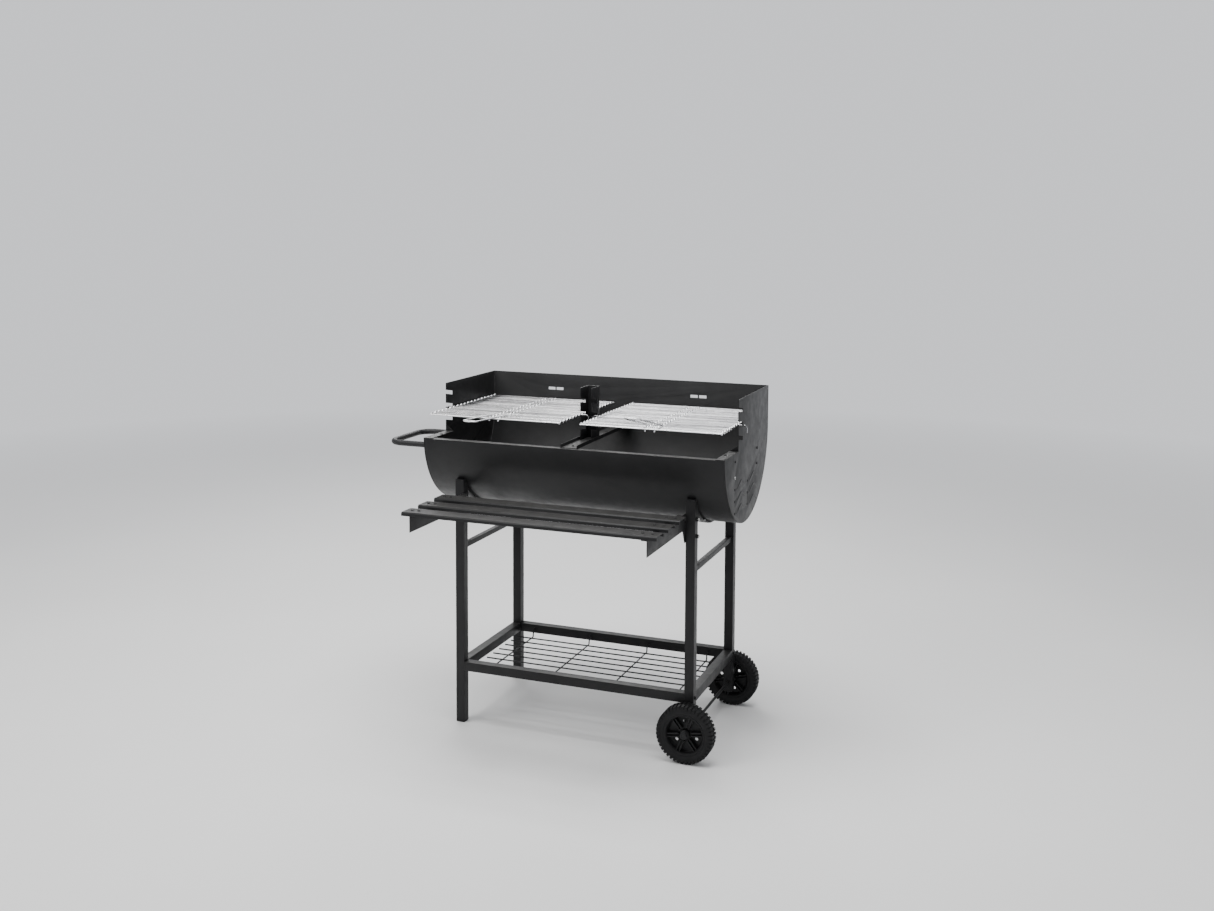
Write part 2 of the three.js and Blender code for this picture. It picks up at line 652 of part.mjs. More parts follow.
// wire loop whose two eyes turn on one of the grate's rods
function grateHandle(side, lift) {
  const centre = side * GRATE_X;
  const arm = [
    v(-HANDLE_HALF, 0, EYE_R),
    v(-HANDLE_HALF, -HANDLE_REACH, EYE_R),
    v(HANDLE_HALF, -HANDLE_REACH, EYE_R),
    v(HANDLE_HALF, 0, EYE_R),
  ];
  const loop = bentRod(roundCorners(arm, 18, 5), ROD, { sides: 6 });
  const eyes = [-HANDLE_HALF, HANDLE_HALF].map((x) => {
    const eye = new THREE.TorusGeometry(EYE_R, ROD / 2, 6, 10);
    return eye.rotateY(Math.PI / 2).translate(x, 0, 0);
  });
  const handle = join(loop, ...eyes);
  handle.rotateX(-lift);
  return handle.translate(centre, ROD_FRONT_Y + PIN_ROD * ROD_PITCH, ROD_Z);
}

function charcoalGrate(side) {
  const near = side * 30;
  const far = side * (BARREL_HALF - PLATE - 12);
  const x0 = Math.min(near, far);
  const x1 = Math.max(near, far);
  const chord = (radius, centreZ) => Math.sqrt((radius - SHEET - 3) ** 2 - (centreZ - COAL_Z) ** 2);
  const front = KEEL_Y - chord(FRONT_R, frontCentreZ);
  const back = KEEL_Y + chord(BACK_R, backCentreZ);
  const rods = [];
  for (const x of [x0 + 12, (x0 + x1) / 2, x1 - 12]) {
    rods.push(bar(v(x, front, COAL_Z), v(x, back, COAL_Z), COAL_ROD, 6));
  }
  const count = Math.floor((back - front - 16) / COAL_PITCH);
  for (let i = 0; i <= count; i++) {
    const y = (front + back) / 2 + (i - count / 2) * COAL_PITCH;
    const z = COAL_Z + COAL_ROD - 1;
    rods.push(bar(v(x0, y, z), v(x1, y, z), COAL_ROD, 6));
  }
  return join(...rods);
}

function addGrates() {
  for (const [end, side, lift] of [["left", -1, LEFT_HANDLE_LIFT], ["right", 1, RIGHT_HANDLE_LIFT]]) {
    add(`charcoal_grate_${end}`, charcoalGrate(side), makeBlack());
    add(`cooking_grate_${end}`, cookingGrate(side), makeChrome());
    add(`grate_handle_${end}`, grateHandle(side, lift), makeChrome());
  }
}

// ---------------------------------------------------------------- assembly
addLegs();
addRails();
addSaddles();
addRack();
addWheels();
addShelf();
addShell();
addEndPlates();
addCentreSupports();
addSideHandle();
addGrates();

// the origin is on the floor, under the middle of the grill's box
const grill = new THREE.Group();
grill.add(...parts);
const bounds = new THREE.Box3().setFromObject(grill);
const middle = bounds.getCenter(v(0, 0, 0));
grill.position.set(-middle.x, -middle.y, -bounds.min.z);

const assembly = new THREE.Group();
assembly.add(grill);
export default assembly;
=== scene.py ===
from math import acos, cos, pi, radians, sin

import bmesh
import bpy
from mathutils import Matrix, Vector


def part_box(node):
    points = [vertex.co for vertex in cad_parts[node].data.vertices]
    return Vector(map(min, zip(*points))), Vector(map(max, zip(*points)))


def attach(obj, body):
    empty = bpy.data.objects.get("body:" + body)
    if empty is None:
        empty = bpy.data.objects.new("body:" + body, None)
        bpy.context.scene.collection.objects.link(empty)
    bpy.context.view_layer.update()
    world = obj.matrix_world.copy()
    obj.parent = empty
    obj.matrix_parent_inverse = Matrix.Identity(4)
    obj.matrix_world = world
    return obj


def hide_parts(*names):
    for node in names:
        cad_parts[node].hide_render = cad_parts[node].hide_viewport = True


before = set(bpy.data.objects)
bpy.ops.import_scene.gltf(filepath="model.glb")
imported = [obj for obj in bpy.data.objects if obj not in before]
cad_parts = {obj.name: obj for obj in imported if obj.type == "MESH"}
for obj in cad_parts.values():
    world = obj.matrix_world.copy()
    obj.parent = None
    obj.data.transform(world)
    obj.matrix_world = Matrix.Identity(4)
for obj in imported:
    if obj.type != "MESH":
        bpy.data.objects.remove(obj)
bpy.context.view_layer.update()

# Sizes are in millimetres in the grill's own axes: x = 0 is the middle of the barrel, y = 0 is the
# middle between the wheels, z = 0 is the floor. place() takes them to the frame's metres. A side is
# -1 for left and 1 for right; a row is -1 for front and 1 for back.
shell_lo, shell_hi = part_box("firebox_shell")
axle_lo, axle_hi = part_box("axle")
ORIGIN = Vector(((shell_lo.x + shell_hi.x) / 2, (axle_lo.y + axle_hi.y) / 2, 0.0))


def place(point):
    return ORIGIN + Vector(point) / 1000


# ------------------------------------------------------------------------------- sizes
# firebox
BARREL_HALF = 430
RIM_Z = 797
KEEL_Y, BACK_R, BOTTOM_Z = -17, 236, 597
BACK_CENTRE_Z = BOTTOM_Z + BACK_R
WALL_Y = KEEL_Y + BACK_R
WING_Y = -94
SIDE_FLANGE = 25
NOTCH_FLOOR_Z, NOTCH_SINK, NOTCH_REACH = 867, 7.2, 40
CHEVRON_COLUMNS, CHEVRON_APEXES = (-63.5, 59.5), (718, 686, 654)
CHEVRON_HALF, CHEVRON_DROP, CHEVRON_STEPS, CHEVRON_CURVE = 47, 21, 6, 1.15
RIDGE_W, RIDGE_H = 8, 1.5
DARK_PLATE_SCREWS, BRIGHT_PLATE_SCREW = ((97, 777), (-124, 777), (94, 735)), (-125, 735)
FLANGE_SCREW_X, FLANGE_SCREW_Y = 412, -155
CHANNEL_SCREW_Y = (-185, 60, 195)
DARK_SCREW_R, BRIGHT_SCREW_R, FLANGE_SCREW_R, CHANNEL_SCREW_R = 3.6, 4.4, 4.2, 4.0
FLANGE_TOP_Z = RIM_Z + 1.8
GUSSET_H, GUSSET_Y = 17, (WING_Y + 0.5, WING_Y + 2)
RIDGE_SINK = 0.2
# cooking grates and their loop handles
GRATE_X, GRATE_HALF = 223.5, 195
ROD, LONG_ROD = 4, 3
ROD_PITCH, ROD_COUNT, ROD_FRONT_Y = 11, 37, -202
HOOK_ROD, PIN_ROD = 13, 3
HOOK_Y = ROD_FRONT_Y + HOOK_ROD * ROD_PITCH
HOOK_GAP = 0.45
ROD_Z = NOTCH_FLOOR_Z - NOTCH_SINK * (HOOK_Y - WING_Y) / NOTCH_REACH + ROD / 2 + HOOK_GAP
CROSS_Z = ROD_Z - 3
HOOK_OUT_X, HOOK_IN_X = 442.9, 6.5
HOOK_DROP, HOOK_BEND = (19, 13), 8
LUG_HALF, LUG_Z = 13, 853.8
WEAVE_H, WEAVE_STEP, WEAVE_DROP = 3.3, 2, 0.6
EDGE_WIRE_OUT, EDGE_WIRE_DROP, SIDE_WIRE_IN = 3.6, 1.2, 3
HANDLE_HALF, HANDLE_REACH, HANDLE_BEND, EYE_R = 20, 187, 17, 4.1
HANDLE_LIFT = {-1: radians(3), 1: radians(13.7)}
# side handle
SIDE_HANDLE_Y, SIDE_HANDLE_TIP_X, SIDE_HANDLE_Z = (-200, 0), -552.6, 775
SIDE_HANDLE_TUBE, SIDE_HANDLE_BEND, COLLAR_GAP = 16, 40, 0.3
# trolley and rack
LEG_X, LEG_Y, TUBE = 333, 185, 25
LOWER_RAIL_Z, UPPER_RAIL_Z = 160, 495.5
SADDLE_BOLT_Z, SADDLE_T = {-1: 628, 1: 638}, 3.3
RACK_Z, RACK_CROSS_X = 138, (-273, -91, 91, 273)
RACK_WIRE, RACK_HALF, RACK_LONG_COUNT, RACK_LONG_PITCH, RACK_LONG_LIFT = 4, 318, 8, 40, 3.2
RACK_TAIL, RACK_SHOULDER, RACK_FOOT, RACK_BEND = 4, 8, 12, 4
# wheels
WHEEL_R, WHEEL_IN_Y, WHEEL_OUT_Y = 77, 200.5, 239
WHEEL_MID_Y = (WHEEL_IN_Y + WHEEL_OUT_Y) / 2
HOLE_TURN = {"front": radians(98), "back": radians(45)}
HOLE_COUNT, HOLE_R, HOLE_AT = 3, 4.4, 31
WEB_R, WEB_CORE_R, WEB_Y = 47.6, 11, (216.6, 219.6)
SPOKE_COUNT, SPOKE_START_R, SPOKE_SINK = 6, 17, 0.4
TREAD_COUNT, TREAD_SKEW, TREAD_REACH = 44, 0.03, 17
# shelf
SLAT_TOP_Z, SLAT_FRONT_Y, SLAT_W, SLAT_STEP = 658, -496, 52, 86.5
SLAT_SCREW_X, SLAT_SCREW_R = (-326, -307, 300, 324), 4.0
SHELF_BOLT_Z = (632, 588)


# ------------------------------------------------------------------------------- materials
class Nodes:
    """A short way to build a material's node tree."""

    def __init__(self, name):
        self.material = bpy.data.materials.new(name)
        self.material.use_nodes = True
        self.tree = self.material.node_tree
        self.shader = self.tree.nodes["Principled BSDF"]
        self.coords = self.tree.nodes.new("ShaderNodeTexCoord").outputs["Object"]

    def link(self, output, node_input):
        self.tree.links.new(output, node_input)

    def noise(self, scale, detail=2.0, roughness=0.5, stretch=None):
        node = self.tree.nodes.new("ShaderNodeTexNoise")
        node.inputs["Scale"].default_value = scale
        node.inputs["Detail"].default_value = detail
        node.inputs["Roughness"].default_value = roughness
        source = self.coords
        if stretch:
            mapping = self.tree.nodes.new("ShaderNodeMapping")
            mapping.inputs["Scale"].default_value = stretch
            self.link(self.coords, mapping.inputs["Vector"])
            source = mapping.outputs["Vector"]
        self.link(source, node.inputs["Vector"])
        return node.outputs["Fac"]

    def spread(self, source, low, high, out_low=0.0, out_high=1.0):
        node = self.tree.nodes.new("ShaderNodeMapRange")
        for name, value in (("From Min", low), ("From Max", high),
                            ("To Min", out_low), ("To Max", out_high)):
            node.inputs[name].default_value = value
        self.link(source, node.inputs["Value"])
        return node.outputs["Result"]

    def math(self, operation, first, second):
        node = self.tree.nodes.new("ShaderNodeMath")
        node.operation = operation
        node.use_clamp = True
        for value, node_input in zip((first, second), node.inputs):
            if isinstance(value, (int, float)):
                node_input.default_value = value
            else:
                self.link(value, node_input)
        return node.outputs["Value"]

    def mix(self, factor, first, second):
        node = self.tree.nodes.new("ShaderNodeMix")
        node.data_type = "RGBA"
        self.link(factor, node.inputs["Factor"])
        for value, node_input in ((first, node.inputs[6]), (second, node.inputs[7])):
            if isinstance(value, tuple):
                node_input.default_value = (*value, 1)
            else:
                self.link(value, node_input)
        return node.outputs[2]

    def bump(self, height, strength, distance, below=None):
        node = self.tree.nodes.new("ShaderNodeBump")
        node.inputs["Strength"].default_value = strength
        node.inputs["Distance"].default_value = distance
        self.link(height, node.inputs["Height"])
        if below is not None:
            self.link(below, node.inputs["Normal"])
        return node.outputs["Normal"]

    def facing_up(self):
        geometry = self.tree.nodes.new("ShaderNodeNewGeometry")
        split = self.tree.nodes.new("ShaderNodeSeparateXYZ")
        self.link(geometry.outputs["Normal"], split.inputs["Vector"])
        return split.outputs["Z"]


# In the functions below, noise scales are per metre and bump distances are metres.
# The pale grey that upward faces are mixed towards: dust, and painted light from above.
DUST_AND_TOP_LIGHT, SPECK_GAIN = (0.16, 0.155, 0.145), 1.9


def powder_coat(name, dark, light, rough):
    """Satin black powder coat: orange peel, faint cloudiness, and upward faces painted paler in patches,
    partly as dust and partly as painted light from above.
    """
    n = Nodes(name)
    cloud = n.spread(n.noise(7, 4, 0.6), 0.35, 0.68)
    speck = n.spread(n.noise(1400, 1), 0.62, 0.74, 0, 0.5)
    base = n.mix(cloud, dark, light)
    base = n.mix(speck, base, tuple(c * SPECK_GAIN for c in light))
    # Upward faces are painted paler in patches: partly dust, partly painted top light.
    patches = n.spread(n.noise(26, 5, 0.65), 0.3, 0.8, 0.06, 0.20)
    dust_and_top_light = n.math("MULTIPLY", n.spread(n.facing_up(), 0.75, 1.0), patches)
    base = n.mix(dust_and_top_light, base, DUST_AND_TOP_LIGHT)
    n.link(base, n.shader.inputs["Base Color"])
    n.link(n.spread(n.noise(48, 3), 0.3, 0.7, *rough), n.shader.inputs["Roughness"])
    peel = n.bump(n.noise(620, 2, 0.45), 0.22, 0.00035)
    n.link(n.bump(n.noise(5, 1), 0.05, 0.004, peel), n.shader.inputs["Normal"])
    n.shader.inputs["Specular IOR Level"].default_value = 0.2
    return n.material


def plated(name, dark, light, rough, streaks=None):
    """Plated wire or fasteners: bright metal with a little stain, or with that stain and painted reflection
    streaks along one way.
    """
    n = Nodes(name)
    n.shader.inputs["Metallic"].default_value = 1.0
    stain_and_painted_reflection = n.spread(n.noise(34, 4, 0.6), 0.35, 0.72)
    # Streaks along one way make whole rods darker or lighter: painted reflection and shade, not stain.
    if streaks:
        along = n.spread(n.noise(1, 3, 0.7, streaks), 0.36, 0.62)
        stain_and_painted_reflection = n.math("MULTIPLY", along, n.spread(stain_and_painted_reflection, 0, 1, 0.75, 1))
    n.link(n.mix(stain_and_painted_reflection, light, dark), n.shader.inputs["Base Color"])
    n.link(n.spread(n.noise(90, 3), 0.3, 0.7, *rough), n.shader.inputs["Roughness"])
    n.link(n.bump(n.noise(900, 2), 0.10, 0.0002), n.shader.inputs["Normal"])
    return n.material


def moulded(name, dark, light, rough):
    """Moulded plastic: fine spark-eroded grain, slight scuffs."""
    n = Nodes(name)
    scuff = n.spread(n.noise(120, 5, 0.7), 0.56, 0.74, 0, 0.4)
    n.link(n.mix(scuff, dark, light), n.shader.inputs["Base Color"])
    n.shader.inputs["Specular IOR Level"].default_value = 0.28
    n.link(n.spread(n.noise(60, 3), 0.3, 0.7, *rough), n.shader.inputs["Roughness"])
    n.link(n.bump(n.noise(1500, 2, 0.6), 0.3, 0.00025), n.shader.inputs["Normal"])
    return n.material


WORLD_COLOUR, WORLD_STRENGTH, BACKDROP_STRENGTH = (0.95, 0.965, 1.0), 0.50, 0.97
FLOOR_FADE = (2.0, 6.0)  # metres from the middle


def make_glow(n):
    glow = n.tree.nodes.new("ShaderNodeEmission")
    glow.inputs["Color"].default_value = (*WORLD_COLOUR, 1)
    glow.inputs["Strength"].default_value = BACKDROP_STRENGTH
    return glow.outputs["Emission"]


def plain_floor():
    """Pale floor that glows like the backdrop far out, so that it has no edge."""
    n = Nodes("floor")
    n.link(n.mix(n.spread(n.noise(1.3, 3), 0.3, 0.7), (0.76, 0.76, 0.755), (0.785, 0.785, 0.78)),
           n.shader.inputs["Base Color"])
    n.shader.inputs["Roughness"].default_value = 0.8
    n.shader.inputs["Specular IOR Level"].default_value = 0.2
    distance = n.tree.nodes.new("ShaderNodeVectorMath")
    distance.operation = "LENGTH"
    n.link(n.coords, distance.inputs[0])
    blend = n.tree.nodes.new("ShaderNodeMixShader")
    n.link(n.spread(distance.outputs["Value"], *FLOOR_FADE), blend.inputs["Fac"])
    n.link(n.shader.outputs["BSDF"], blend.inputs[1])
    n.link(make_glow(n), blend.inputs[2])
    n.link(blend.outputs["Shader"], n.tree.nodes["Material Output"].inputs["Surface"])
    return n.material


def plain_backdrop():
    """An even glow for the camera only; the world lights the object."""
    n = Nodes("backdrop")
    n.link(make_glow(n), n.tree.nodes["Material Output"].inputs["Surface"])
    return n.material


COAT = powder_coat("black powder coat", (0.0125, 0.0125, 0.013), (0.018, 0.018, 0.0185), (0.36, 0.47))
# A paler, rougher copy of the coat: for the firebox's inner faces and the charcoal grates, and on the rim as
# painted top light.
COAT_PALE_INSIDE_AND_RIM_LIGHT = powder_coat("firebox powder coat", (0.026, 0.026, 0.0265), (0.038, 0.038, 0.0385),
                          (0.40, 0.52))
CHROME = plated("chrome plate", (0.78, 0.78, 0.79), (0.95, 0.95, 0.96), (0.24, 0.38))
# Dark-to-light rods with streaks along them: the dark tone and the streaks are painted reflection and shade
# between the rods.
CHROME_RODS_PAINTED_REFLECTION = plated("chrome rods", (0.14, 0.14, 0.145), (0.60, 0.60, 0.61), (0.14, 0.26), (1.6, 95, 1.6))
ZINC = plated("zinc plate", (0.40, 0.40, 0.40), (0.62, 0.62, 0.61), (0.28, 0.42))
# A dark metal for the thin crosses on the screw heads: painted shade where the recess is.
RECESS_SHADE = plated("screw recess", (0.05, 0.05, 0.05), (0.09, 0.09, 0.09), (0.5, 0.6))
TYRE = moulded("tyre plastic", (0.0065, 0.0065, 0.007), (0.015, 0.015, 0.0155), (0.55, 0.70))
HUB = moulded("hub plastic", (0.009, 0.009, 0.0095), (0.018, 0.018, 0.019), (0.38, 0.52))
PLASTIC = moulded("cap plastic", (0.012, 0.012, 0.013), (0.028, 0.028, 0.029), (0.40, 0.55))
GRIP = moulded("handle sleeve", (0.017, 0.017, 0.018), (0.030, 0.030, 0.031), (0.42, 0.55))


# ------------------------------------------------------------------------------- mesh helpers
# Corners in the order of for x: for y: for z, each from low to high.
BOX_FACES = ((0, 1, 3, 2), (4, 6, 7, 5), (0, 4, 5, 1), (2, 3, 7, 6), (0, 2, 6, 4), (1, 5, 7, 3))


class Solid:
    """Vertices and faces in the grill's millimetres."""

    def __init__(self):
        self.points = []
        self.faces = []

    def add(self, points, faces):
        first = len(self.points)
        self.points += [Vector(p) for p in points]
        self.faces += [[first + i for i in face] for face in faces]
        return self

    def merge(self, *others):
        for other in others:
            self.add(other.points, other.faces)
        return self

    def moved(self, matrix):
        copy = Solid()
        copy.points = [matrix @ p for p in self.points]
        flip = matrix.to_3x3().determinant() < 0
        copy.faces = [face[::-1] if flip else list(face) for face in self.faces]
        return copy


def piece(name, solid, material, body="trolley", replaces=(), bevel=0.0, sharp=38):
    """A visible piece made from a Solid; bevel is in millimetres, sharp in degrees."""
    mesh = bpy.data.meshes.new(name)
    mesh.from_pydata([place(p) for p in solid.points], [], solid.faces)
    bm = bmesh.new()
    bm.from_mesh(mesh)
    bmesh.ops.recalc_face_normals(bm, faces=bm.faces)
    if bevel:
        round_edges(bm, bevel)
    bm.to_mesh(mesh)
    bm.free()
    return finish_piece(name, mesh, material, body, replaces, sharp)


def finish_piece(name, mesh, material, body, replaces, sharp):
    mesh.materials.clear()
    mesh.materials.append(material)
    mesh.shade_smooth()
    mesh.set_sharp_from_angle(angle=radians(sharp))
    mesh.update()
    item = bpy.data.objects.new(name, mesh)
    bpy.context.scene.collection.objects.link(item)
    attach(item, body)
    if replaces:
        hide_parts(*replaces)
    return item


def round_edges(bm, width, angle=40, segments=2):
    edges = [e for e in bm.edges if len(e.link_faces) == 2 and e.calc_face_angle(0) > radians(angle)]
    bmesh.ops.bevel(bm, geom=edges, offset=width / 1000, segments=segments, profile=0.6,
                    affect="EDGES", clamp_overlap=True)


def refined(name, node, material, bevel=0.5, body="trolley", segments=2, sharp=38):
    """The CAD node's own shape, with its flat faces made whole and its edges rounded."""
    bm = bmesh.new()
    bm.from_mesh(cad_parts[node].data)
    bmesh.ops.remove_doubles(bm, verts=bm.verts, dist=2e-6)
    bmesh.ops.dissolve_limit(bm, angle_limit=radians(0.4), verts=bm.verts, edges=bm.edges)
    if bevel:
        round_edges(bm, bevel, segments=segments)
    mesh = bpy.data.meshes.new(name)
    bm.to_mesh(mesh)
    bm.free()
    if "custom_normal" in mesh.attributes:
        mesh.attributes.remove(mesh.attributes["custom_normal"])
    return finish_piece(name, mesh, material, body, (node,), sharp)


def prism(outline, start, end):
    """An [x, z] outline given thickness along y."""
    count = len(outline)
    points = [(x, y, z) for y in (start, end) for x, z in outline]
    faces = [list(range(count))[::-1], list(range(count, 2 * count))]
    faces += [(i, (i + 1) % count, count + (i + 1) % count, count + i) for i in range(count)]
    return Solid().add(points, faces)


def lathe(profile, centre, axis, segments=40):
    """A [radius, height] profile, closed or ending on the axis, turned about an axis through centre."""
    axis = Vector(axis).normalized()
    side = axis.orthogonal().normalized()
    other = axis.cross(side)
    centre = Vector(centre)
    count = len(profile)
    points, faces = [], []
    for s in range(segments):
        angle = 2 * pi * s / segments
        out = side * cos(angle) + other * sin(angle)
        points += [centre + out * radius + axis * height for radius, height in profile]
        for i in range(count - 1):
            a, b = s * count + i, ((s + 1) % segments) * count + i
            faces.append((a, a + 1, b + 1, b))
    return Solid().add(points, faces)


def bend(corners, radius, steps=6):
    """Corner points with true arcs in place of the inner corners."""
    corners = [Vector(c) for c in corners]
    path = [corners[0]]
    for before, here, after in zip(corners, corners[1:], corners[2:]):
        back, ahead = (before - here).normalized(), (after - here).normalized()
        half = acos(max(-1, min(1, back.dot(ahead)))) / 2
        reach = radius / max(1e-6, sin(half) / cos(half))
        centre = here + (back + ahead).normalized() * (radius / sin(half))
        first, last = here + back * reach - centre, here + ahead * reach - centre
        turn = first.angle(last)
        for i in range(steps + 1):
            t = i / steps
            path.append(centre + (first * sin((1 - t) * turn) + last * sin(t * turn)) / sin(turn))
    return path + [corners[-1]]


def wire(path, diameter, sides=12, closed=False):
    """A round wire along a path, with flat cut ends."""
    path = [Vector(p) for p in path]
    count = len(path)
    tangents = []
    for i in range(count):
        before = path[i - 1] if i or closed else path[0]
        after = path[(i + 1) % count] if i < count - 1 or closed else path[-1]
        tangents.append((after - before).normalized())
    side = tangents[0].orthogonal().normalized()
    points, faces = [], []
    for i, (centre, along) in enumerate(zip(path, tangents)):
        side = (side - along * side.dot(along)).normalized()
        other = along.cross(side)
        for s in range(sides):
            angle = 2 * pi * s / sides
            points.append(centre + (side * cos(angle) + other * sin(angle)) * diameter / 2)
    rings = count if closed else count - 1
    for i in range(rings):
        for s in range(sides):
            a, b = i * sides, ((i + 1) % count) * sides
            faces.append((a + s, a + (s + 1) % sides, b + (s + 1) % sides, b + s))
    if not closed:
        faces += [list(range(sides))[::-1], list(range((count - 1) * sides, count * sides))]
    return Solid().add(points, faces)


FRAME_BOLT, SADDLE_BOLT, SHELF_NUT = (8, 3, 5.5), (8, 3, 5), (10, 5, 6.5)
WASHER_T, CHAMFER = 1, 0.9
DOME_EDGE, DOME_RISE, DOME_ANGLES = 0.5, 1.9, (0, 0.35, 0.75, 1.15)
CROSS_LONG, CROSS_SHORT, CROSS_HEIGHTS = 0.5, 0.13, (1.6, 2.52)


def hexagon_bolt(seat, axis, across, thick, washer_r):
    """A hexagon head with a chamfered top over a washer; axis points out of the seat."""
    axis = Vector(axis).normalized()
    low, high = across / 2 / cos(pi / 6), across / 2 * 0.98
    profile = [(0, WASHER_T), (low, WASHER_T), (low, thick), (high, thick + CHAMFER), (0, thick + CHAMFER)]
    head = lathe(profile, seat, axis, 6)
    disc = lathe([(0, 0), (washer_r, 0), (washer_r, WASHER_T), (0, WASHER_T)], seat, axis, 28)
    return head.merge(disc)


def add_screw(heads, crosses, seat, axis, radius):
    """A domed screw head added to heads, and a thin cross over its recess added to crosses, to be coloured
    dark as painted shade.
    """
    axis = Vector(axis).normalized()
    dome = [(0, 0), (radius, 0)]
    dome += [(radius * cos(a), DOME_EDGE + DOME_RISE * sin(a)) for a in DOME_ANGLES]
    heads.merge(lathe(dome + [(0, DOME_EDGE + DOME_RISE)], seat, axis, 24))
    side = axis.orthogonal().normalized()
    other = axis.cross(side)
    for long, short in ((side, other), (other, side)):
        corners = [Vector(seat) + long * a * radius * CROSS_LONG + short * b * radius * CROSS_SHORT + axis * c
                   for a in (-1, 1) for b in (-1, 1) for c in CROSS_HEIGHTS]
        crosses.add(corners, BOX_FACES)


# ------------------------------------------------------------------------------- trolley
def build_legs():
    for row in ("front", "back"):
        for end in ("left", "right"):
            refined(f"leg_{row}_{end}_tube", f"leg_{row}_{end}", COAT, bevel=2.2, segments=3)
            refined(f"leg_{row}_{end}_cap", f"leg_cap_{row}_{end}", PLASTIC, bevel=1.0)
            refined(f"leg_{row}_{end}_foot", f"leg_foot_{row}_{end}", PLASTIC, bevel=0.8)
    for name in ("lower_rail_front", "lower_rail_back", "lower_rail_left", "lower_rail_right",
                 "upper_rail_left", "upper_rail_right"):
        refined(f"{name}_tube", name, COAT, bevel=2.0, segments=3)
    for end in ("left", "right"):
        refined(f"saddle_{end}_strap", f"saddle_{end}", COAT, bevel=0.6)


def build_frame_bolts():
    """Bolts that hold the rails and the saddle straps to the legs."""
    bolts = Solid()
    for side in (-1, 1):
        outer, back = side * (LEG_X + TUBE / 2), LEG_Y + TUBE / 2
        for row in (-1, 1):
            bolts.merge(hexagon_bolt((outer, row * LEG_Y, LOWER_RAIL_Z), (side, 0, 0), *FRAME_BOLT))
        for z in (UPPER_RAIL_Z, LOWER_RAIL_Z - 1):
            bolts.merge(hexagon_bolt((side * LEG_X, back, z), (0, 1, 0), *FRAME_BOLT))
    piece("frame_bolts", bolts, COAT, sharp=30)
    straps = Solid()
    for side in (-1, 1):
        for row, z in SADDLE_BOLT_Z.items():
            inner = row * (LEG_Y - TUBE / 2 - SADDLE_T)
            straps.merge(hexagon_bolt((side * LEG_X, inner, z), (0, -row, 0), *SADDLE_BOLT))
    piece("saddle_bolts", straps, ZINC, sharp=30)


def build_rack():
    face = LEG_Y - TUBE / 2
    wires = Solid()
    for x in RACK_CROSS_X:
        path = [(x, -face - RACK_TAIL, LOWER_RAIL_Z), (x, -face + RACK_SHOULDER, LOWER_RAIL_Z),
                (x, -face + RACK_FOOT, RACK_Z), (x, face - RACK_FOOT, RACK_Z),
                (x, face - RACK_SHOULDER, LOWER_RAIL_Z), (x, face + RACK_TAIL, LOWER_RAIL_Z)]
        wires.merge(wire(bend(path, RACK_BEND, 5), RACK_WIRE, 12))
    for i in range(RACK_LONG_COUNT):
        y = (i - (RACK_LONG_COUNT - 1) / 2) * RACK_LONG_PITCH
        z = RACK_Z + RACK_LONG_LIFT
        wires.merge(wire([(-RACK_HALF, y, z), (RACK_HALF, y, z)], RACK_WIRE, 12))
    piece("bottom_rack_wires", wires, COAT, replaces=("bottom_rack",), sharp=60)
    collars = Solid()
    for x in RACK_CROSS_X:
        for row in (-1, 1):
            collars.merge(lathe([(2, 0), (5, 0), (5, 1.4), (3.6, 2.6), (2, 2.6)],
                                (x, row * face, LOWER_RAIL_Z), (0, -row, 0), 20))
    piece("bottom_rack_collars", collars, PLASTIC)


# ------------------------------------------------------------------------------- wheels
def around(angle, radius, y):
    return (radius * cos(angle), y, radius * sin(angle))


def tread_block(start, end, section):
    """One block: a [radius, offset] section given width round the wheel, leaning with the offset."""
    count = len(section)
    points = []
    for angle in (start, end):
        points += [around(angle + TREAD_SKEW * off / TREAD_REACH, radius, WHEEL_MID_Y + off)
                   for radius, off in section]
    faces = [list(range(count)), list(range(count, 2 * count))[::-1]]
    faces += [(i, count + i, count + (i + 1) % count, (i + 1) % count) for i in range(count)]
    return Solid().add(points, faces)


def make_tyre():
    """The tyre's body from [radius, offset] points, with three rows of tread blocks round it."""
    half = [(47.4, 2), (47.4, 9), (48.6, 15), (50.5, 17.4), (53.5, 18.2), (55, 17.3), (56.5, 18.3),
            (62, 18.9), (68, 18.4), (71.4, 16.6), (73.8, 13), (74.7, 7), (74.9, 0)]
    outside = [(radius, WHEEL_MID_Y + off) for radius, off in half]
    inside = [(radius, WHEEL_MID_Y - off) for radius, off in half[-2::-1]]
    tyre = lathe(outside + inside + [outside[0]], (0, 0, 0), (0, 1, 0), 96)
    shoulder = [(65.5, 19.2), (71.5, 19.1), (75.6, 17.6), (WHEEL_R, 15.2), (WHEEL_R, 4.4), (72, 4.4),
                (71, 12)]
    opposite = [(radius, -off) for radius, off in shoulder][::-1]
    middle = [(WHEEL_R, 2.8), (WHEEL_R, -2.8), (72.5, -2.8), (72.5, 2.8)]
    step = 2 * pi / TREAD_COUNT
    for i in range(TREAD_COUNT):
        for first, last, section in ((0, 0.60, shoulder), (0.50, 1.10, opposite), (0.25, 0.80, middle)):
            tyre.merge(tread_block((i + first) * step, (i + last) * step, section))
    return tyre


